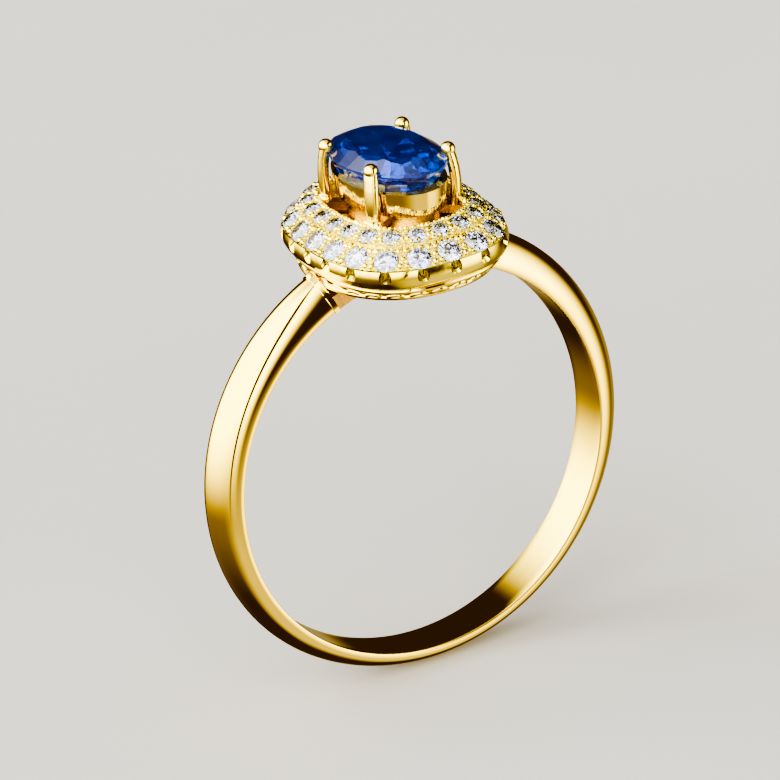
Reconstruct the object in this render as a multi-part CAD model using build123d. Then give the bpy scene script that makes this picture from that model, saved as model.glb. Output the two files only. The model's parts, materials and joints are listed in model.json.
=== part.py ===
from build123d import *
from math import atan2, cos, degrees, hypot, pi, radians, sin, tan
import os

# A halo engagement ring in millimetres. The origin is the centre of the finger hole, Y is
# the finger's axis and +Z points up through the head. An oval blue stone stands in a collet
# with four claws, inside two stepped rows of small round diamonds.

# ---- finger hole and shank ----
FINGER_RADIUS = 8.25                 # US size 6, 16.5 mm across
SHANK_END_ANGLE = 155.4              # from the bottom of the hoop to each shoulder
COLLAR_END_ANGLE = 156.85            # where each shoulder collar meets the head's bridge
COLLAR_PROUD = 0.07                  # step of the collar above the shank
SHOULDER_BEAD_RADIUS = 0.20
SHOULDER_BEAD_SUNK = 0.06            # of the bead's centre, below the shoulder's crown
SHANK_THICKNESS = {"bottom": 0.80, "side": 1.20, "top": 1.48}
SHANK_WIDTH = 1.90
SHANK_DOME_POWER = 1.7               # 2 is an ellipse, 1 a gable
SHANK_SIDE_WALL = 0.18               # short upright wall beside the finger
SHANK_SECTIONS = 27
DOME_POINTS = 9
INSIDE_ALLOWANCE = 0.4               # metal that the finger's cylinder then cuts away
CUT_SIZE = 20.0                      # of a body that only cuts, past the reach of every piece

# ---- halo outline: one superellipse, offset in and out ----
HALO_HALF_X = 3.95
HALO_HALF_Y = 4.80
HALO_POWER = 2.6
OUTLINE_POINTS = 48

# ---- heights of the head above the finger hole's centre ----
LOWER_RAIL_Z = 8.63
UPPER_RAIL_Z = 9.00
HALO_BOTTOM_Z = 9.12
OUTER_EDGE_Z = 10.00
COLLET_FOOT_Z = 9.35
COLLET_STEP_Z = 11.36
COLLET_RIM_Z = 12.31
GIRDLE_Z = 13.00

# ---- open gallery under the halo, and the bridge over the finger ----
LOWER_RAIL_HALF_X = 3.55
LOWER_RAIL_HALF_Y = 4.10
LOWER_RAIL_POWER = 2.2
LOWER_RAIL_DIAMETER = 0.28
UPPER_RAIL_INSET = 0.42
UPPER_RAIL_DIAMETER = 0.24
ARCH_COUNT = 28
ARCH_DIAMETER = 0.20
ARCH_SPAN = 0.76                     # of an arch, against its share of the rail
BRIDGE_OUTER_RADIUS = 8.90
BRIDGE_SPREAD = 180 - COLLAR_END_ANGLE
WINDOW_HALF_X = 0.85
WINDOW_HALF_Y = 0.50
SEAT_WALL_X = 0.50
SEAT_WALL_Y = 0.42

# ---- the two rows of small diamonds ----
OUTER_COUNT = 20
OUTER_DIAMETER = 0.98
OUTER_INSET = 0.43
OUTER_TILT = 38.0
INNER_COUNT = 22
INNER_DIAMETER = 0.78
INNER_INSET = 1.08
INNER_TILT = 24.0
RIM_LIP = 0.06                       # inset of the outer tier's top edge
RIM_FOOT_INSET = 0.30                # the rim wall curves in to this at its bottom
RIM_FOOT_HEIGHT = 0.16
RIM_FOOT_TOP = 0.10
RIM_BULGE = 0.12                     # rise of the rim wall's bulge, against its height
SHELF_INSET = 0.80                   # where the outer tier's slope ends in a flat shelf
OUTER_TIER_WIDTH = 0.98              # from the rim to the outer tier's inner wall
INNER_TIER_EDGE = 0.82               # inset of the inner tier's outer wall
INNER_TIER_INSIDE = 1.49             # inset of the inner tier's inner wall
STEP_HEIGHT = 0.28                   # inner tier's upright wall above the outer stones
TIER_DEPTH = 0.75                    # how far the inner tier reaches down
SEAT_GAP = 0.012                     # round each stone
SEAT_STEP = 0.04                     # how far a seat's bore goes below the girdle
SEAT_POINT = 0.12                    # seat's narrow end, against its bore
SEAT_DEPTH = 0.80                    # seat's cone, against its bore's radius
NOTCH_RADIUS = 0.25                  # U-shaped light opening in the rim under each outer stone
NOTCH_DEPTH = 0.17                   # of its centre, below the girdle
NOTCH_LENGTH = 0.7
SHELF_Z = OUTER_EDGE_Z + tan(radians(OUTER_TILT)) * (SHELF_INSET - RIM_LIP)
STEP_Z = SHELF_Z + STEP_HEIGHT
OUTER_ROW_Z = OUTER_EDGE_Z + tan(radians(OUTER_TILT)) * (OUTER_INSET - RIM_LIP)
INNER_ROW_Z = STEP_Z + tan(radians(INNER_TILT)) * (INNER_INSET - INNER_TIER_EDGE)

# ---- centre stone, collet and claws ----
SAPPHIRE_HALF_X = 2.02
SAPPHIRE_HALF_Y = 3.10
SAPPHIRE_DEPTH_SCALE = 1.95          # depth of the cut, for a girdle radius of 1
COLLET_HALF_X = 1.97
COLLET_HALF_Y = 3.08
COLLET_TAPER = 0.08                  # how much narrower the collet is at its step
COLLET_STEP = 0.18                   # from the collet's wall in to the cone below it
COLLET_FOOT_HALF_X = 1.30
COLLET_FOOT_HALF_Y = 2.10
COLLET_INSIDE_HALF_X = 1.25          # opening under the centre stone's seat
COLLET_INSIDE_HALF_Y = 2.00
CONE_WALL = 0.30
PLATE_HALF_X = 2.43                  # the cone's plate, which floors the groove round the collet
PLATE_HALF_Y = 3.28
PLATE_Z = 10.42
PLATE_THICKNESS = 0.15
CLAW_WIDTH = 0.58
CLAW_THICKNESS = 0.44
CLAW_BALL_DIAMETER = 0.60
CLAW_FOOT = (1.82, 1.84, 11.00)
CLAW_MIDDLE = (1.89, 1.91, 12.15)
CLAW_TIP = (1.74, 1.77, 13.27)
CLAW_BAR_LENGTH = 1.6
CLAW_BAR_WIDTH = 0.50
CLAW_BAR_HEIGHT = 0.34
CLAWS = (("front_left", -1, -1), ("front_right", 1, -1),
         ("back_left", -1, 1), ("back_right", 1, 1))

# ---- cut stones, for a girdle radius of 1 ----
TABLE_RADIUS = 0.58
CROWN_ANGLE = 34.5
PAVILION_ANGLE = 40.8
GIRDLE_HALF = 0.02
SAPPHIRE_TABLE = 0.68
SAPPHIRE_CROWN_ANGLE = 36.0
BLANK_DEPTH = 1.2                    # enough for the deepest pavilion
STAR_ANGLE = 23.0
UPPER_HALF_ANGLE = 41.0
LOWER_HALF_ANGLE = 42.6
SAPPHIRE_STAR_ANGLE = 20.0
SAPPHIRE_UPPER_HALF_ANGLE = 37.0
SAPPHIRE_BELLY = (68.0, 1.0, -0.02)  # angle, reach and height of each row under the girdle
SAPPHIRE_WAIST = (46.0, 0.88, -0.36)
SAPPHIRE_PAVILION = (36.0, 0.52, -0.66)


def blend(values, angle):
    """Value at an angle round the hoop, from its bottom, side and top values."""
    height = -cos(radians(angle))
    low, mid, high = values["bottom"], values["side"], values["top"]
    return mid + (high - low) / 2 * height + ((high + low) / 2 - mid) * height ** 2


def hoop_plane(angle):
    """Radial plane of the hoop: its x axis runs outward and its y axis along the finger."""
    outward = Vector(sin(radians(angle)), 0, -cos(radians(angle)))
    along = Vector(cos(radians(angle)), 0, sin(radians(angle)))
    return Plane(origin=(0, 0, 0), x_dir=outward, z_dir=-along)


def rail_path(half_x, half_y, power, z):
    """Closed superellipse at one height."""
    points = []
    for index in range(OUTLINE_POINTS):
        turn = 2 * pi * index / OUTLINE_POINTS
        across = abs(cos(turn) / half_x) ** power
        along = abs(sin(turn) / half_y) ** power
        reach = (across + along) ** (-1 / power)
        points.append((reach * cos(turn), reach * sin(turn), z))
    return Edge.make_spline(points, periodic=True)


def outline(inset, z):
    """Closed halo outline at an inset from the rim."""
    return rail_path(HALO_HALF_X - inset, HALO_HALF_Y - inset, HALO_POWER, z)


def station(path, fraction):
    """Point, forward direction and outward direction at a fraction of a closed outline."""
    where = path.position_at(path.length * fraction, position_mode=PositionMode.LENGTH)
    forward = path.tangent_at(path.length * fraction, position_mode=PositionMode.LENGTH)
    return where, forward, forward.cross(Vector(0, 0, 1))


def sweep_profile(points, tops=()):
    """Ring swept round the halo outline from (inset, height) corners.

    tops lists the corners' indices where the line to the next corner bulges outward.
    """
    path = outline(0, 0)
    where, forward, outward = station(path, 0)
    section_plane = Plane(origin=where, x_dir=outward, z_dir=-forward)
    edges = []
    for index, (inset, height) in enumerate(points):
        next_inset, next_height = points[(index + 1) % len(points)]
        start = (-inset, height)
        end = (-next_inset, next_height)
        if index in tops:
            sag = RIM_BULGE * hypot(end[0] - start[0], end[1] - start[1])
            middle = ((start[0] + end[0]) / 2 + sag, (start[1] + end[1]) / 2)
            edges.append(ThreePointArc(start, middle, end))
        else:
            edges.append(Line(start, end))
    face = make_face(Wire(edges))
    return sweep(section_plane * face, path=path, is_frenet=False).solid()


def facet(stone, scale, turn, angle, reach, height, keep_low=True):
    """Cut one flat facet whose plane passes a point at reach from the axis, at a height.

    The cut is laid out on a round stone of radius 1, then stretched by scale.
    """
    sign = 1 if keep_low else -1
    normal = (sin(radians(angle)) * cos(radians(turn)),
              sin(radians(angle)) * sin(radians(turn)),
              sign * cos(radians(angle)))
    point = (reach * cos(radians(turn)) * scale[0],
             reach * sin(radians(turn)) * scale[1],
             height * scale[2])
    stretched = tuple(n / s for n, s in zip(normal, scale))
    return split(stone, bisect_by=Plane(origin=point, z_dir=stretched), keep=Keep.BOTTOM).solid()


def blank(scale, crown):
    """Uncut stone: an upright oval bar about the girdle."""
    bar = extrude(Ellipse(scale[0], scale[1]), amount=crown * scale[2])
    bar += extrude(Ellipse(scale[0], scale[1]), amount=-BLANK_DEPTH * scale[2])
    return bar.solid()


def seat(diameter):
    """Hole that a small diamond sits in: a short bore over a cone."""
    radius = diameter / 2 + SEAT_GAP
    bore = Cylinder(radius, diameter, align=(Align.CENTER, Align.CENTER, Align.MIN))
    cone = Cone(radius * SEAT_POINT, radius, radius * SEAT_DEPTH,
                align=(Align.CENTER, Align.CENTER, Align.MAX))
    return (Pos(0, 0, -SEAT_STEP) * (bore + cone)).solid()


def row_places(inset, z, count, tilt):
    """Planes of a row of small diamonds, facing up and outward, first one at the front."""
    path = outline(inset, z)
    places = []
    for index in range(count):
        where, forward, outward = station(path, (0.75 + index / count) % 1)
        face = outward * sin(radians(tilt)) + Vector(0, 0, cos(radians(tilt)))
        places.append(Plane(origin=where, x_dir=forward, z_dir=face))
    return places


def section_face(angle, proud=0.0):
    """Shank's section at an angle round the hoop: domed, with its flat side in the hole."""
    thick = blend(SHANK_THICKNESS, angle) + proud
    half = SHANK_WIDTH / 2 + proud
    wall = FINGER_RADIUS + SHANK_SIDE_WALL
    inside = FINGER_RADIUS - INSIDE_ALLOWANCE
    power = 2 / SHANK_DOME_POWER
    dome = []
    for step in range(DOME_POINTS):
        turn = pi * step / (DOME_POINTS - 1)
        side = abs(cos(turn)) ** power * (1 if turn < pi / 2 else -1)
        rise = sin(turn) ** power * (thick - SHANK_SIDE_WALL)
        dome.append((wall + rise, half * side))
    crown = Spline(dome, tangents=[(1, 0), (-1, 0)])
    left = Line((wall, -half), (inside, -half))
    floor = Line((inside, -half), (inside, half))
    right = Line((inside, half), (wall, half))
    return hoop_plane(angle) * make_face(Wire([crown, left, floor, right]))


def finger():
    """The finger's cylinder, which every piece of the hoop is cut to."""
    return Rot(90, 0, 0) * Cylinder(FINGER_RADIUS, CUT_SIZE)


def make_shank():
    """Hoop that is open under the head, thin at the bottom and thick at the shoulders."""
    sections = []
    for index in range(SHANK_SECTIONS):
        share = 2 * index / (SHANK_SECTIONS - 1) - 1
        sections.append(section_face(SHANK_END_ANGLE * share))
    return (loft(sections) - finger()).solid()


def make_collar(side):
    """Stepped collar where a shoulder meets the head, with a round bead on its crown."""
    start = section_face(side * SHANK_END_ANGLE, COLLAR_PROUD)
    end = section_face(side * COLLAR_END_ANGLE, COLLAR_PROUD)
    collar = loft([start, end]) - finger()
    middle = radians((SHANK_END_ANGLE + COLLAR_END_ANGLE) / 2)
    reach = FINGER_RADIUS + SHANK_THICKNESS["top"] - SHOULDER_BEAD_SUNK
    bead = Pos(side * reach * sin(middle), 0, -reach * cos(middle)) * Sphere(SHOULDER_BEAD_RADIUS)
    bead -= below_shoulder(side)
    above = Pos(0, 0, HALO_BOTTOM_Z) * Box(
        CUT_SIZE, CUT_SIZE, CUT_SIZE, align=(Align.CENTER, Align.CENTER, Align.MIN))
    return (collar + bead - above).solid()


def below_shoulder(side):
    """Everything below a shoulder's end plane, so that nothing reaches into the shank."""
    plane = hoop_plane(side * SHANK_END_ANGLE)
    return extrude(plane * Rectangle(CUT_SIZE, CUT_SIZE), amount=side * CUT_SIZE)


def make_bridge():
    """Finger-curved bar that closes the hoop under the head, with an oval light window."""
    bar = Rot(90, 0, 0) * Cylinder(BRIDGE_OUTER_RADIUS, SHANK_WIDTH) - finger()
    top = 2 * BRIDGE_OUTER_RADIUS
    side = top * tan(radians(BRIDGE_SPREAD))
    wedge = Polyline((0, 0), (-side, top), (side, top), close=True)
    sector = extrude(Plane.XZ * make_face(wedge), amount=SHANK_WIDTH, both=True)
    window = extrude(Ellipse(WINDOW_HALF_X, WINDOW_HALF_Y), amount=CUT_SIZE)
    return ((bar & sector) - window).solid()


def make_collet_seat():
    """Oval ring that stands on the bridge and carries the collet."""
    ring = Ellipse(WINDOW_HALF_X + SEAT_WALL_X, WINDOW_HALF_Y + SEAT_WALL_Y)
    ring -= Ellipse(WINDOW_HALF_X, WINDOW_HALF_Y)
    tall = Pos(0, 0, FINGER_RADIUS) * extrude(ring, amount=COLLET_FOOT_Z - FINGER_RADIUS)
    return (tall - Rot(90, 0, 0) * Cylinder(BRIDGE_OUTER_RADIUS, CUT_SIZE)).solid()


def wire_ring(path, diameter):
    """Round wire bent along a closed path."""
    where, forward, outward = station(path, 0)
    section = Plane(origin=where, x_dir=outward, z_dir=-forward) * Circle(diameter / 2)
    return sweep(section, path=path).solid()


def make_arches(lower_path, upper_path, lower_rail):
    """Row of small round arches that stand on the lower rail and carry the halo."""
    top_z = UPPER_RAIL_Z - UPPER_RAIL_DIAMETER / 2 - ARCH_DIAMETER / 2
    half_span = ARCH_SPAN / 2 / ARCH_COUNT
    arches = []
    for index in range(ARCH_COUNT):
        share = (index + 0.5) / ARCH_COUNT
        left, _, _ = station(lower_path, (share - half_span) % 1)
        right, _, _ = station(lower_path, (share + half_span) % 1)
        middle, _, _ = station(lower_path, share)
        over, _, _ = station(upper_path, share)
        crown = Vector((middle.X + over.X) / 2, (middle.Y + over.Y) / 2, top_z)
        spine = ThreePointArc(left, crown, right)
        start = Plane(origin=spine @ 0, z_dir=spine % 0)
        arch = sweep(start * Circle(ARCH_DIAMETER / 2), path=spine)
        arches += (arch - lower_rail).solids()
    return arches


def make_outer_tier(places):
    """Outer halo tier: a bulging rim wall and a sloping top that holds the outer row."""
    tier = sweep_profile([(OUTER_TIER_WIDTH, HALO_BOTTOM_Z), (RIM_FOOT_INSET, HALO_BOTTOM_Z),
                          (RIM_FOOT_TOP, HALO_BOTTOM_Z + RIM_FOOT_HEIGHT),
                          (RIM_LIP, OUTER_EDGE_Z), (SHELF_INSET, SHELF_Z),
                          (OUTER_TIER_WIDTH, SHELF_Z)], tops=(1, 2))
    opening = Rot(90, 0, 0) * Cylinder(NOTCH_RADIUS, NOTCH_LENGTH)
    notch = Pos(0, -OUTER_DIAMETER / 2, -NOTCH_DEPTH) * opening
    for place in places:
        tier -= place.location * seat(OUTER_DIAMETER)
        tier -= place.location * notch
    return tier.solid()


def make_inner_tier(places):
    """Inner halo tier: stands on the outer tier's shelf and holds the inner row."""
    inside_z = STEP_Z + tan(radians(INNER_TILT)) * (INNER_TIER_INSIDE - INNER_TIER_EDGE)
    foot_z = inside_z - TIER_DEPTH
    tier = sweep_profile([(INNER_TIER_EDGE, SHELF_Z), (INNER_TIER_EDGE, STEP_Z),
                          (INNER_TIER_INSIDE, inside_z), (INNER_TIER_INSIDE, foot_z),
                          (OUTER_TIER_WIDTH, foot_z), (OUTER_TIER_WIDTH, SHELF_Z)])
    for place in places:
        tier -= place.location * seat(INNER_DIAMETER)
    return tier.solid()


def tapered_oval(low, high):
    """Upright oval body between two (half x, half y, height) sections."""
    return loft([Pos(0, 0, low[2]) * Ellipse(low[0], low[1]),
                 Pos(0, 0, high[2]) * Ellipse(high[0], high[1])])


def thinner(section, amount):
    """The same oval section, smaller by an amount all round."""
    return section[0] - amount, section[1] - amount, section[2]


def make_collet(sapphire):
    """Oval wall whose rim is cut to the centre stone's underside, and its solid outside."""
    low = (COLLET_HALF_X - COLLET_TAPER, COLLET_HALF_Y - COLLET_TAPER, COLLET_STEP_Z)
    high = (COLLET_HALF_X, COLLET_HALF_Y, COLLET_RIM_Z)
    body = tapered_oval(low, high)
    opening = Ellipse(COLLET_INSIDE_HALF_X, COLLET_INSIDE_HALF_Y)
    inside = Pos(0, 0, COLLET_STEP_Z) * extrude(opening, amount=COLLET_RIM_Z - COLLET_STEP_Z)
    return (body - inside - sapphire).solid(), body.solid()


def make_collet_cone(sapphire):
    """Tapered oval cone under the collet, with a plate round it, and its solid outside."""
    inset = COLLET_TAPER + COLLET_STEP
    low = (COLLET_FOOT_HALF_X, COLLET_FOOT_HALF_Y, COLLET_FOOT_Z)
    high = (COLLET_HALF_X - inset, COLLET_HALF_Y - inset, COLLET_STEP_Z)
    cone = tapered_oval(low, high)
    inside = tapered_oval(thinner(low, CONE_WALL), thinner(high, CONE_WALL))
    plate = Pos(0, 0, PLATE_Z) * extrude(Ellipse(PLATE_HALF_X, PLATE_HALF_Y), amount=PLATE_THICKNESS)
    return (cone + plate - inside - sapphire).solid(), (cone + plate).solid()


def make_claw(collet_body, sapphire):
    """Oval wire claw that bows out past the collet, with a ball over the stone, back right."""
    spine = ThreePointArc(CLAW_FOOT, CLAW_MIDDLE, CLAW_TIP)
    across = (spine % 0).cross(spine % 1)
    start = Plane(origin=spine @ 0, x_dir=across, z_dir=spine % 0)
    bow = revolve(start * Ellipse(CLAW_WIDTH / 2, CLAW_THICKNESS / 2),
                  axis=Axis(spine.arc_center, across),
                  revolution_arc=degrees(spine.length / spine.radius))
    claw = bow + Pos(*CLAW_TIP) * Sphere(CLAW_BALL_DIAMETER / 2)
    return (claw - collet_body - sapphire).solid()


def to_side(shape, side_x, side_y):
    """The back right piece, mirrored to another corner of the head."""
    if side_x < 0:
        shape = mirror(shape, about=Plane.YZ)
    if side_y < 0:
        shape = mirror(shape, about=Plane.XZ)
    return shape.solid()


def make_collet_bridges(collet_body, cone_body, inner_tier):
    """Four short bars under the claws, from the collet to the inner tier's wall."""
    bars = []
    foot_x, foot_y, foot_z = CLAW_FOOT
    block = Pos(hypot(foot_x, foot_y), 0, foot_z) * Box(
        CLAW_BAR_LENGTH, CLAW_BAR_WIDTH, CLAW_BAR_HEIGHT,
        align=(Align.CENTER, Align.CENTER, Align.MAX))
    for _, side_x, side_y in CLAWS:
        turn = degrees(atan2(side_y * foot_y, side_x * foot_x))
        bar = Rot(0, 0, turn) * block - collet_body - cone_body - inner_tier
        foot = (side_x * foot_x, side_y * foot_y, foot_z)
        bars.append(bar.solids().sort_by_distance(foot)[0])
    return bars


def cut_diamond(diameter):
    """Round brilliant with its table up and its girdle at height 0."""
    scale = (diameter / 2,) * 3
    crown = (1 - TABLE_RADIUS) * tan(radians(CROWN_ANGLE)) + GIRDLE_HALF
    stone = blank(scale, crown)
    for index in range(8):
        main = 45 * index
        stone = facet(stone, scale, main, CROWN_ANGLE, 1, GIRDLE_HALF)
        stone = facet(stone, scale, main + 22.5, STAR_ANGLE, TABLE_RADIUS * cos(pi / 8), crown)
        stone = facet(stone, scale, main, PAVILION_ANGLE, 1, -GIRDLE_HALF, False)
    for index in range(16):
        half = 22.5 * index + 11.25
        stone = facet(stone, scale, half, UPPER_HALF_ANGLE, 1, GIRDLE_HALF)
        stone = facet(stone, scale, half, LOWER_HALF_ANGLE, 1, -GIRDLE_HALF, False)
    return stone


def cut_sapphire():
    """Oval mixed cut: a faceted crown over a deep pavilion that bulges below its girdle."""
    scale = (SAPPHIRE_HALF_X, SAPPHIRE_HALF_Y, SAPPHIRE_DEPTH_SCALE)
    crown = (1 - SAPPHIRE_TABLE) * tan(radians(SAPPHIRE_CROWN_ANGLE)) + GIRDLE_HALF
    stone = blank(scale, crown)
    for index in range(8):
        main = 45 * index
        stone = facet(stone, scale, main, SAPPHIRE_CROWN_ANGLE, 1, GIRDLE_HALF)
        stone = facet(stone, scale, main + 22.5, SAPPHIRE_STAR_ANGLE,
                      SAPPHIRE_TABLE * cos(pi / 8), crown)
        stone = facet(stone, scale, main, *SAPPHIRE_PAVILION, False)
    for index in range(16):
        half = 22.5 * index + 11.25
        stone = facet(stone, scale, half, SAPPHIRE_UPPER_HALF_ANGLE, 1, GIRDLE_HALF)
        stone = facet(stone, scale, half, *SAPPHIRE_BELLY, False)
        stone = facet(stone, scale, half, *SAPPHIRE_WAIST, False)
    return stone


def save(name, shape):
    """Write one sub-part to its own file."""
    export_step(shape, f"parts/{name}.step")


def main():
    os.makedirs("parts", exist_ok=True)
    outer_places = row_places(OUTER_INSET, OUTER_ROW_Z, OUTER_COUNT, OUTER_TILT)
    inner_places = row_places(INNER_INSET, INNER_ROW_Z, INNER_COUNT, INNER_TILT)
    sapphire = Pos(0, 0, GIRDLE_Z) * cut_sapphire()
    inner_tier = make_inner_tier(inner_places)
    collet, collet_body = make_collet(sapphire)
    collet_cone, cone_body = make_collet_cone(sapphire)
    lower_path = rail_path(LOWER_RAIL_HALF_X, LOWER_RAIL_HALF_Y, LOWER_RAIL_POWER, LOWER_RAIL_Z)
    lower_rail = wire_ring(lower_path, LOWER_RAIL_DIAMETER)
    upper_path = rail_path(HALO_HALF_X - UPPER_RAIL_INSET, HALO_HALF_Y - UPPER_RAIL_INSET,
                           HALO_POWER, UPPER_RAIL_Z)

    save("shank", make_shank())
    save("shoulder_collar_left", make_collar(-1))
    save("shoulder_collar_right", make_collar(1))
    save("head_bridge", make_bridge())
    save("collet_seat", make_collet_seat())
    save("gallery_lower_rail", lower_rail)
    save("gallery_upper_rail", wire_ring(upper_path, UPPER_RAIL_DIAMETER))
    save("gallery_arches", Compound(make_arches(lower_path, upper_path, lower_rail)))
    save("outer_halo_tier", make_outer_tier(outer_places))
    save("inner_halo_tier", inner_tier)
    save("collet", collet)
    save("collet_cone", collet_cone)
    save("collet_bridges", Compound(make_collet_bridges(collet_body, cone_body, inner_tier)))
    save("sapphire", sapphire)
    claw = make_claw(collet_body, sapphire)
    for name, side_x, side_y in CLAWS:
        save(f"claw_{name}", to_side(claw, side_x, side_y))
    outer_diamond = cut_diamond(OUTER_DIAMETER)
    for index, place in enumerate(outer_places):
        save(f"outer_diamond_{index + 1:02d}", place.location * outer_diamond)
    inner_diamond = cut_diamond(INNER_DIAMETER)
    for index, place in enumerate(inner_places):
        save(f"inner_diamond_{index + 1:02d}", place.location * inner_diamond)


if __name__ == "__main__":
    main()
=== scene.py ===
import json
import math
import random

import bmesh
import bpy
import numpy as np
from mathutils import Matrix, Vector


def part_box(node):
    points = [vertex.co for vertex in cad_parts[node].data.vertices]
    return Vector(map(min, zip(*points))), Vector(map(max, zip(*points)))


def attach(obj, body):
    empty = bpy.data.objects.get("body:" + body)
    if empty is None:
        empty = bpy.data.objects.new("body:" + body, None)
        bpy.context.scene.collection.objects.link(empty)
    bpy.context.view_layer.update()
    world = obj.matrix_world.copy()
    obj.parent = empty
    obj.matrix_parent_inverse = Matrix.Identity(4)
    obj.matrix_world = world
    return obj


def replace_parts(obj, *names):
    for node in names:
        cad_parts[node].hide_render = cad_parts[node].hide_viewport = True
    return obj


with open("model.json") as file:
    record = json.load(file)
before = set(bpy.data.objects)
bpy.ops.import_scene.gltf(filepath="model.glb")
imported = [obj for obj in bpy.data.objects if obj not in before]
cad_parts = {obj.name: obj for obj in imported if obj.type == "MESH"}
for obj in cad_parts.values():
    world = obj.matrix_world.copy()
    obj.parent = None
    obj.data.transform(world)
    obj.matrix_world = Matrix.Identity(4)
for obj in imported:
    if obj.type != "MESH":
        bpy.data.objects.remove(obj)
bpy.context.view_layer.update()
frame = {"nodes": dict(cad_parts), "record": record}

MM = 0.001

# ---- view of the photograph ----
VIEW_AZIMUTH = -28.2
VIEW_ELEVATION = 24.2
VIEW_ROLL = -5.2
VIEW_DISTANCE = 0.200
VIEW_LENS = 229.7
VIEW_ASIDE = -0.965 * MM             # of the camera, along the picture's width
VIEW_RAISED = 2.564 * MM             # and along its height

# ---- the hoop's section, in millimetres, as in the CAD: its bottom is a hair thinner, so that
# the finer mesh stays inside the CAD's box ----
FINGER_RADIUS = frame["record"]["mounts"][0]["dims"]["r_mm"]
SHANK_END = math.radians(155.4)
SHANK_HALF_WIDTH = 0.95
SHANK_THICK = (0.795, 1.20, 1.48)    # bottom, side, top
SHANK_DOME = 1.7
SHANK_WALL = 0.18
EDGE_ROUND = 0.05
DOME_STEPS = 56
EDGE_STEPS = 4
FLOOR_STEPS = 6
HOOP_STEPS = 420

# ---- the halo's outline, in millimetres, as in the CAD ----
HALO_HALF_X = 3.95
HALO_HALF_Y = 4.80
HALO_POWER = 2.6
OUTLINE_STEPS = 720
INNER_EDGE_INSET = 1.45
STEP_INSET = 0.85
STEP_DROP = 0.30                     # from the inner tier's inner edge to its outer edge
SHELF_DROP = 0.56                    # and to the outer tier's shelf

# ---- grains raised from the metal, in millimetres: radius, places and how many ----
OUTER_GRAIN = 0.135
OUTER_GRAIN_SPREAD = 0.33            # of the grains from the line of the row, to each side
OUTER_GRAIN_SIDE = 0.13              # and from the gap's middle, along the row
INNER_GRAIN = 0.115
INNER_GRAIN_SPREAD = 0.27
INNER_GRAIN_SIDE = 0.10
MIDDLE_GRAIN_SHARE = 0.8             # of the grain in the gap's middle, against the others
GRAIN_SIZES = (0.8, 1.2)             # shares of its radius that a grain may reach each way
EDGE_BEAD = 0.085
EDGE_BEADS = 84
STEP_BEAD = 0.095
STEP_BEADS = 78
SHELF_BEAD = 0.080
SHELF_BEADS = 88
SHELF_BEAD_INSET = STEP_INSET - 0.07
CLAW_LUMP = 0.24
CLAW_LUMPS = 54                      # along the whole inner edge, kept only beside the claws
CLAW_LUMP_INSET = INNER_EDGE_INSET + 0.05
CLAW_LUMP_SIZES = (0.7, 1.0)
CLAW_LUMP_NEAR = (0.0, 0.6)          # share of the way from the edge to the claw's foot
CLAW_LUMP_REACH = 0.80
GRAIN_RISE = 0.05                    # of a grain's middle above the stones' girdles
GIRDLE_SHARE = 0.9                   # a stone's girdle is its part past this share of its radius
GRAIN_LUMPS = 0.06                   # share of its radius by which a grain is uneven


# ---------------------------------------------------------------- node helpers

def material(name):
    """New node material, with its tree and its Principled shader."""
    made = bpy.data.materials.new(name)
    made.use_nodes = True
    return made, made.node_tree, made.node_tree.nodes["Principled BSDF"]


def node(tree, kind, settings, *values, **named):
    """New shader node. A value may be a number, a colour or another node's output to link."""
    made = tree.nodes.new(kind)
    for key, value in settings.items():
        setattr(made, key, value)
    sockets = list(enumerate(values)) + list(named.items())
    for key, value in sockets:
        if isinstance(value, bpy.types.NodeSocket):
            tree.links.new(value, made.inputs[key])
        elif value is not None:
            made.inputs[key].default_value = value
    return made


def calc(tree, operation, first, second=0.0):
    return node(tree, "ShaderNodeMath", {"operation": operation}, first, second).outputs[0]


def step(tree, value, start, end):
    """0 at start, 1 at end, smooth between. start may be the larger one."""
    low, high = min(start, end), max(start, end)
    ends = (0.0, 1.0) if start < end else (1.0, 0.0)
    return node(tree, "ShaderNodeMapRange", {"interpolation_type": "SMOOTHSTEP"},
                value, low, high, *ends).outputs[0]


def band(tree, value, rise, full, fade, end):
    """1 between full and fade, falling softly to 0 at rise and at end."""
    return calc(tree, "MULTIPLY", step(tree, value, rise, full), step(tree, value, end, fade))


def ramp(tree, factor, *stops):
    """Colour ramp from (place, (red, green, blue)) stops."""
    made = node(tree, "ShaderNodeValToRGB", {}, factor)
    elements = made.color_ramp.elements
    while len(elements) < len(stops):
        elements.new(0.5)
    for element, (place, colour) in zip(elements, stops):
        element.position = place
        element.color = (*colour, 1)
    return made.outputs[0]


def noise(tree, scale, detail=2.0):
    """Noise with that many features per millimetre, fixed in the ring's frame."""
    place = node(tree, "ShaderNodeTexCoord", {}).outputs["Object"]
    made = node(tree, "ShaderNodeTexNoise", {}, Vector=place, Scale=scale / MM, Detail=detail)
    return made.outputs["Fac"]


def height(tree):
    """Height above the finger hole's centre, in millimetres."""
    place = node(tree, "ShaderNodeTexCoord", {}).outputs["Object"]
    return calc(tree, "DIVIDE", node(tree, "ShaderNodeSeparateXYZ", {}, place).outputs[2], MM)


# ---------------------------------------------------------------- materials

DRIFT_SCALE = 0.35                   # of gold's slow colour drift, in features per millimetre
GLOSS_SCALE = 3.0                    # and of its fine changes in gloss
NOISE_LOW = 0.35                     # the part of a noise's range that colours are spread over
NOISE_HIGH = 0.65
BEADED_FADE = 0.03                   # half the height over which the beaded skin begins
OUTER_BEADED_FROM = 10.0             # heights above the finger hole's centre
INNER_BEADED_FROM = 10.6


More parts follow.
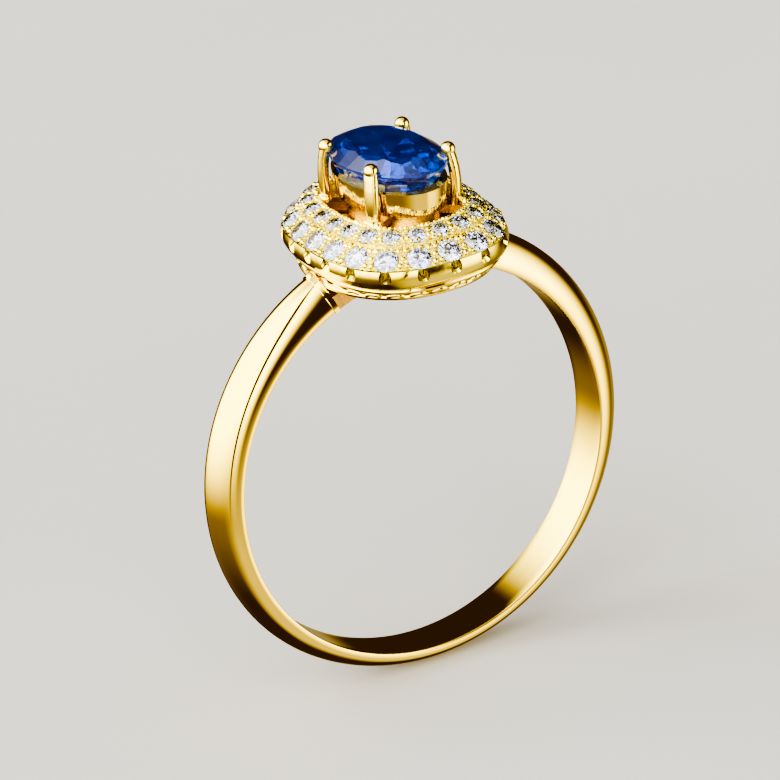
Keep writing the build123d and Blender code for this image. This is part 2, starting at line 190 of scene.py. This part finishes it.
def gold(name, deep, bright, smooth, rough, grain, bump, above=None):
    """Polished gold: its colour drifts slowly, its gloss varies finely and its skin is barely
    uneven. Above a height, bump grows to the cut and beaded skin round the small stones."""
    made, tree, shader = material(name)
    drift = noise(tree, DRIFT_SCALE)
    tree.links.new(ramp(tree, drift, (NOISE_LOW, deep), (NOISE_HIGH, bright)),
                   shader.inputs["Base Color"])
    gloss = node(tree, "ShaderNodeMapRange", {}, noise(tree, GLOSS_SCALE, 3.0),
                 0.3, 0.7, smooth, rough)
    tree.links.new(gloss.outputs[0], shader.inputs["Roughness"])
    skin = noise(tree, grain, 3.0)
    if above is not None:
        cut = step(tree, height(tree), above - BEADED_FADE, above + BEADED_FADE)
        skin = calc(tree, "MULTIPLY", skin, cut)
    raised = node(tree, "ShaderNodeBump", {}, Height=skin, Strength=1.0, Distance=bump)
    tree.links.new(raised.outputs[0], shader.inputs["Normal"])
    shader.inputs["Metallic"].default_value = 1.0
    return made


def stone(name, index, clear, zoned, patch, rough, shine, clarity):
    """Cut stone: mostly clear, with colour zoning and a little milkiness through its body."""
    made, tree, shader = material(name)
    zones = noise(tree, patch, 3.0)
    tree.links.new(ramp(tree, zones, (NOISE_LOW, zoned), (NOISE_HIGH, clear)),
                   shader.inputs["Base Color"])
    shader.inputs["Roughness"].default_value = rough
    shader.inputs["IOR"].default_value = index
    shader.inputs["Specular IOR Level"].default_value = shine
    shader.inputs["Transmission Weight"].default_value = clarity
    return made


SHANK_GOLD = gold("shank_gold_polished", (0.95, 0.745, 0.13), (1.0, 0.79, 0.17),
                  0.02, 0.05, 6.0, 0.00002 * MM)
HEAD_GOLD = gold("head_gold_polished", (0.95, 0.745, 0.13), (1.0, 0.79, 0.18),
                 0.05, 0.12, 5.0, 0.001 * MM)
OUTER_TIER_GOLD = gold("halo_gold_beaded", (0.84, 0.69, 0.09), (0.96, 0.83, 0.16),
                       0.08, 0.20, 6.0, 0.22 * MM, above=OUTER_BEADED_FROM)
INNER_TIER_GOLD = gold("inner_halo_gold_beaded", (0.84, 0.69, 0.09), (0.96, 0.83, 0.16),
                       0.08, 0.20, 6.0, 0.22 * MM, above=INNER_BEADED_FROM)
GRAIN_GOLD = gold("grain_gold_burnished", (0.90, 0.76, 0.11), (0.98, 0.85, 0.20),
                  0.03, 0.10, 9.0, 0.005 * MM)
# Dark brown gold for the collet's bridges and seat and the head's bridge: painted shade that darkens
# the hollows under the halo; its higher roughness is the metal's satin finish
INNER_GOLD_PAINTED_SHADE = gold("inner_gold_satin_painted_shade", (0.40, 0.22, 0.05), (0.52, 0.31, 0.08),
                  0.25, 0.45, 8.0, 0.01 * MM)
# Darker gold for the collet's cone: painted shade in the groove between the collet and the inner
# tier; its higher roughness is the metal's own
GROOVE_GOLD_PAINTED_SHADE = gold("groove_gold_rough_painted_shade", (0.80, 0.56, 0.11), (0.93, 0.70, 0.17),
                   0.14, 0.30, 8.0, 0.01 * MM)
SAPPHIRE = stone("sapphire_blue", 1.77, (0.008, 0.10, 0.70), (0.0025, 0.035, 0.36),
                 0.6, 0.01, 0.28, 0.86)
DIAMOND = stone("diamond_colourless", 2.42, (0.70, 0.74, 0.94), (0.48, 0.53, 0.82),
                2.0, 0.0, 0.5, 1.0)

SLOT_FINISH = {"shank_gold": SHANK_GOLD, "head_gold": HEAD_GOLD,
               "sapphire": SAPPHIRE, "diamond": DIAMOND}
# The collet's cone, bridges and seat and the head's bridge take the darkened golds above: painted
# shade under the halo
NODE_FINISH = {"outer_halo_tier": OUTER_TIER_GOLD, "inner_halo_tier": INNER_TIER_GOLD,
               "collet_cone": GROOVE_GOLD_PAINTED_SHADE, "collet_bridges": INNER_GOLD_PAINTED_SHADE,
               "collet_seat": INNER_GOLD_PAINTED_SHADE, "head_bridge": INNER_GOLD_PAINTED_SHADE}


def finish_cad_nodes():
    """Each carried-over CAD node gets its own material, or its slot's."""
    for part in frame["record"]["subparts"]:
        name = part["node"]
        for slot in frame["nodes"][name].material_slots:
            slot.material = NODE_FINISH.get(name, SLOT_FINISH[part["material_slot"]])


# ---------------------------------------------------------------- pieces

def new_piece(name, form, finish, crease=180):
    """Turns a bmesh into a smooth piece of the ring, sharp only past the crease angle."""
    mesh = bpy.data.meshes.new(name)
    bmesh.ops.recalc_face_normals(form, faces=form.faces)
    form.to_mesh(mesh)
    form.free()
    mesh.shade_smooth()
    mesh.set_sharp_from_angle(angle=math.radians(crease))
    mesh.materials.append(finish)
    piece = bpy.data.objects.new(name, mesh)
    bpy.context.scene.collection.objects.link(piece)
    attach(piece, "root")
    return piece


def hoop_section(angle):
    """Closed section of the hoop at an angle from its bottom: (reach, place along the finger)."""
    rise = -math.cos(angle)
    low, mid, high = SHANK_THICK
    thick = mid + (high - low) / 2 * rise + ((high + low) / 2 - mid) * rise ** 2
    power = 2 / SHANK_DOME
    points = []
    for index in range(1, FLOOR_STEPS):
        share = 2 * index / FLOOR_STEPS - 1
        points.append((FINGER_RADIUS, (SHANK_HALF_WIDTH - EDGE_ROUND) * share))
    for index in range(EDGE_STEPS + 1):
        turn = math.pi / 2 * index / EDGE_STEPS
        points.append((FINGER_RADIUS + EDGE_ROUND * (1 - math.cos(turn)),
                       SHANK_HALF_WIDTH - EDGE_ROUND * (1 - math.sin(turn))))
    for index in range(DOME_STEPS + 1):
        turn = math.pi * index / DOME_STEPS
        side = math.copysign(abs(math.cos(turn)) ** power, math.cos(turn))
        bulge = max(math.sin(turn), 0) ** power
        points.append((FINGER_RADIUS + SHANK_WALL + bulge * (thick - SHANK_WALL),
                       SHANK_HALF_WIDTH * side))
    for index in range(EDGE_STEPS, -1, -1):
        turn = math.pi / 2 * index / EDGE_STEPS
        points.append((FINGER_RADIUS + EDGE_ROUND * (1 - math.cos(turn)),
                       EDGE_ROUND * (1 - math.sin(turn)) - SHANK_HALF_WIDTH))
    return points


def make_hoop():
    """The shank on a fine even grid, so that its polish shows no facets."""
    form = bmesh.new()
    rings = []
    for index in range(HOOP_STEPS + 1):
        angle = SHANK_END * (2 * index / HOOP_STEPS - 1)
        rings.append([form.verts.new((reach * MM * math.sin(angle), along * MM,
                                      -reach * MM * math.cos(angle)))
                      for reach, along in hoop_section(angle)])
    for first, second in zip(rings, rings[1:]):
        for index in range(len(first)):
            after = (index + 1) % len(first)
            form.faces.new((first[index], first[after], second[after], second[index]))
    form.faces.new(rings[0])
    form.faces.new(rings[-1][::-1])
    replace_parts(new_piece("hoop", form, SHANK_GOLD, 50), "shank")


def stone_places(row):
    """Girdle's centre and upward axis of each small stone of a row, from the CAD."""
    places = []
    for name in sorted(n for n in frame["nodes"] if n.startswith(row + "_diamond")):
        points = np.array([v.co for v in frame["nodes"][name].data.vertices])
        _, vectors = np.linalg.eigh(np.cov(points.T))
        axis = Vector(min(vectors.T, key=lambda vector: np.ptp(points @ vector)))
        axis = axis if axis.z > 0 else -axis
        middle = (points.min(0) + points.max(0)) / 2
        out = points - middle
        out = out - np.outer(out @ np.array(axis), axis)
        reach = np.linalg.norm(out, axis=1)
        girdle = points[reach > GIRDLE_SHARE * reach.max()]
        places.append((Vector(girdle.mean(0)), axis))
    return places


def add_bead(form, place, axis, radius, dice):
    """One hand-raised grain: a lumpy dome, no two quite alike."""
    turn = axis.to_track_quat("Z", "Y").to_matrix().to_4x4()
    spin = Matrix.Rotation(dice.uniform(0, math.tau), 4, "Z")
    sizes = [radius * dice.uniform(*GRAIN_SIZES) for _ in range(3)]
    made = bmesh.ops.create_icosphere(
        form, subdivisions=2, radius=1,
        matrix=Matrix.Translation(place) @ turn @ spin @ Matrix.Diagonal((*sizes, 1)))
    for vertex in made["verts"]:
        vertex.co += (vertex.co - place) * dice.uniform(-GRAIN_LUMPS, GRAIN_LUMPS)


def make_grains(row, radius, spread, side):
    """Two grains on each side of every gap between neighbouring stones, and one between them."""
    dice = random.Random(row)
    form = bmesh.new()
    places = stone_places(row)
    for (here, axis), (there, next_axis) in zip(places, places[1:] + places[:1]):
        middle = (here + there) / 2
        up = (axis + next_axis).normalized()
        along = (there - here).normalized()
        down = along.cross(up)
        add_bead(form, middle + up * GRAIN_RISE * MM, up, radius * MIDDLE_GRAIN_SHARE * MM, dice)
        for across in (-1, 1):
            for beside in (-1, 1):
                place = middle + (down * across * spread + along * beside * side) * MM
                add_bead(form, place + up * GRAIN_RISE * MM, up, radius * MM, dice)
    new_piece(row + "_grains", form, GRAIN_GOLD)


def halo_line(inset, height, count):
    """Points evenly spread along the halo's outline, at an inset from its rim."""
    turns = np.linspace(0, math.tau, OUTLINE_STEPS + 1)
    across = np.abs(np.cos(turns) / (HALO_HALF_X - inset)) ** HALO_POWER
    along = np.abs(np.sin(turns) / (HALO_HALF_Y - inset)) ** HALO_POWER
    reach = (across + along) ** (-1 / HALO_POWER)
    x, y = reach * np.cos(turns) * MM, reach * np.sin(turns) * MM
    run = np.concatenate([[0], np.cumsum(np.hypot(np.diff(x), np.diff(y)))])
    stops = run[-1] * np.arange(count) / count
    return [Vector((np.interp(stop, run, x), np.interp(stop, run, y), height)) for stop in stops]


def make_beading():
    """Beads along the inner tier's inner edge and its outer one, and on the shelf below that."""
    dice = random.Random("beading")
    _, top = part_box("inner_halo_tier")
    rows = (("edge_beads", INNER_EDGE_INSET, 0, EDGE_BEADS, EDGE_BEAD),
            ("step_beads", STEP_INSET, STEP_DROP, STEP_BEADS, STEP_BEAD),
            ("shelf_beads", SHELF_BEAD_INSET, SHELF_DROP, SHELF_BEADS, SHELF_BEAD))
    for name, inset, drop, count, radius in rows:
        form = bmesh.new()
        for place in halo_line(inset, top.z - drop * MM, count):
            lean = Vector((place.x, place.y, HALO_HALF_X * MM)).normalized()
            add_bead(form, place, lean, radius * MM, dice)
        new_piece(name, form, GRAIN_GOLD)


def make_claw_lumps():
    """Lumps of metal raised against each claw's foot, along the inner tier's edge."""
    dice = random.Random("lumps")
    _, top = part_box("inner_halo_tier")
    form = bmesh.new()
    for claw in ("claw_front_left", "claw_front_right", "claw_back_left", "claw_back_right"):
        low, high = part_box(claw)
        foot = Vector(((low.x + high.x) / 2, (low.y + high.y) / 2, top.z))
        for place in halo_line(CLAW_LUMP_INSET, top.z, CLAW_LUMPS):
            if (place - foot).length < CLAW_LUMP_REACH * MM:
                near = place.lerp(foot, dice.uniform(*CLAW_LUMP_NEAR))
                radius = CLAW_LUMP * MM * dice.uniform(*CLAW_LUMP_SIZES)
                add_bead(form, near, Vector((0, 0, 1)), radius, dice)
    new_piece("claw_lumps", form, GRAIN_GOLD)


# ---------------------------------------------------------------- floor, light and camera

FLOOR_REACH = 2.0                    # metres from the ring to each side of the floor


def make_floor():
    """Pale floor under the ring."""
    low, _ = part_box("shank")
    mesh = bpy.data.meshes.new("floor")
    corners = [(x * FLOOR_REACH, y * FLOOR_REACH, low.z)
               for x, y in ((-1, -1), (1, -1), (1, 1), (-1, 1))]
    mesh.from_pydata(corners, [], [(0, 1, 2, 3)])
    floor = bpy.data.objects.new("floor", mesh)
    bpy.context.scene.collection.objects.link(floor)
    made, tree, shader = material("pale_floor")
    tint = ramp(tree, noise(tree, 0.02, 4.0), (0.3, (0.46, 0.45, 0.43)), (0.7, (0.49, 0.48, 0.46)))
    tree.links.new(tint, shader.inputs["Base Color"])
    shader.inputs["Roughness"].default_value = 0.7
    shader.inputs["Specular IOR Level"].default_value = 0.2
    mesh.materials.append(made)
    floor.visible_glossy = False


# Each light is (turn from the front, rise above the level, power, colour). A turn or a rise is
# where it starts, is full, begins to fade and has ended, in degrees; +X is a turn of 90.
PANELS = {
    "left": ((-178, -140, -14, 3), (-28, 10, 50, 86), 4.8, (0.98, 0.985, 1.0)),
    "right": ((20, 32, 44, 90), (-42, -4, 14, 38), 4.4, (1.0, 0.98, 0.95)),
    "low left": ((-178, -150, -60, -20), (-64, -22, -10, 10), 0.22, (1.0, 0.74, 0.36)),
    "front": ((-60, -15, 60, 110), (-88, -60, -34, -6), 0.85, (1.0, 0.88, 0.62)),
    "behind": ((92, 112, 150, 176), (-55, -32, -16, -2), 0.30, (1.0, 0.84, 0.45)),
    "above": ((-190, -181, 181, 190), (50, 68, 91, 92), 0.9, (1.0, 1.0, 1.0)),
}
DARK = (0.055, 0.028, 0.010)
EDGE_FADE = (1.0, 1.08, 1.5)         # of red, green and blue: a panel's edge is warmer
GAP_TURN = -20.0                     # of the narrow gap in the left panel, at its middle
GAP_MIDDLE_RISE = 25.0
GAP_BOW = 0.0042                     # degrees that it turns by, for each degree of rise squared
GAP_DARK = 2.2                       # degrees from its middle that are dark
GAP_END = 3.4                        # and that end it
BACKDROP = (0.62, 0.62, 0.62, 1)


def make_light():
    """Studio light all round: soft panels, the left one split by a narrow gap, and a dark rest."""
    world = bpy.data.worlds.new("studio")
    bpy.context.scene.world = world
    world.use_nodes = True
    tree = world.node_tree
    way = node(tree, "ShaderNodeTexCoord", {}).outputs["Generated"]
    parts = node(tree, "ShaderNodeSeparateXYZ", {}, way).outputs
    front = calc(tree, "MULTIPLY", parts[1], -1.0)
    turn = calc(tree, "DEGREES", calc(tree, "ARCTAN2", parts[0], front))
    rise = calc(tree, "DEGREES", calc(tree, "ARCSINE", parts[2]))

    bow = calc(tree, "POWER", calc(tree, "SUBTRACT", rise, GAP_MIDDLE_RISE), 2.0)
    gap_turn = calc(tree, "SUBTRACT", GAP_TURN, calc(tree, "MULTIPLY", bow, GAP_BOW))
    beside = calc(tree, "SUBTRACT", turn, gap_turn)
    in_gap = band(tree, beside, -GAP_END, -GAP_DARK, GAP_DARK, GAP_END)
    open_part = calc(tree, "SUBTRACT", 1.0, in_gap)

    total = node(tree, "ShaderNodeCombineXYZ", {}, *DARK).outputs[0]
    for name, (turns, rises, power, colour) in PANELS.items():
        mask = calc(tree, "MULTIPLY", band(tree, turn, *turns), band(tree, rise, *rises))
        if name == "left":
            mask = calc(tree, "MULTIPLY", mask, open_part)
        warm = [calc(tree, "MULTIPLY", calc(tree, "POWER", mask, fade), power * part)
                for fade, part in zip(EDGE_FADE, colour)]
        light = node(tree, "ShaderNodeCombineXYZ", {}, *warm).outputs[0]
        total = node(tree, "ShaderNodeVectorMath", {"operation": "ADD"}, total, light).outputs[0]
    seen = node(tree, "ShaderNodeLightPath", {}).outputs["Is Camera Ray"]
    mixed = node(tree, "ShaderNodeMix", {"data_type": "RGBA"}, seen)
    tree.links.new(total, mixed.inputs[6])
    mixed.inputs[7].default_value = BACKDROP
    tree.links.new(mixed.outputs[2], tree.nodes["Background"].inputs["Color"])


def make_camera():
    """Camera at the photograph's angle, with its slight roll."""
    turn, rise, roll = (math.radians(a) for a in (VIEW_AZIMUTH, VIEW_ELEVATION, VIEW_ROLL))
    back = Vector((math.sin(turn) * math.cos(rise), -math.cos(turn) * math.cos(rise), math.sin(rise)))
    level = (-back).cross(Vector((0, 0, 1))).normalized()
    upright = level.cross(-back)
    right = level * math.cos(roll) + upright * math.sin(roll)
    up = upright * math.cos(roll) - level * math.sin(roll)
    data = bpy.data.cameras.new("camera")
    data.lens = VIEW_LENS
    data.sensor_width = 36
    data.clip_start = 0.01
    data.clip_end = 10
    camera = bpy.data.objects.new("camera", data)
    place = back * VIEW_DISTANCE + right * VIEW_ASIDE + up * VIEW_RAISED
    axes = Matrix((right, up, back)).transposed()
    camera.matrix_world = Matrix.Translation(place) @ axes.to_4x4()
    bpy.context.scene.collection.objects.link(camera)
    bpy.context.scene.camera = camera


make_camera()
make_light()
make_floor()
finish_cad_nodes()
make_hoop()
make_grains("outer", OUTER_GRAIN, OUTER_GRAIN_SPREAD, OUTER_GRAIN_SIDE)
make_grains("inner", INNER_GRAIN, INNER_GRAIN_SPREAD, INNER_GRAIN_SIDE)
make_beading()
make_claw_lumps()
bpy.context.scene.view_settings.view_transform = "AgX"
bpy.context.scene.view_settings.look = "AgX - High Contrast"
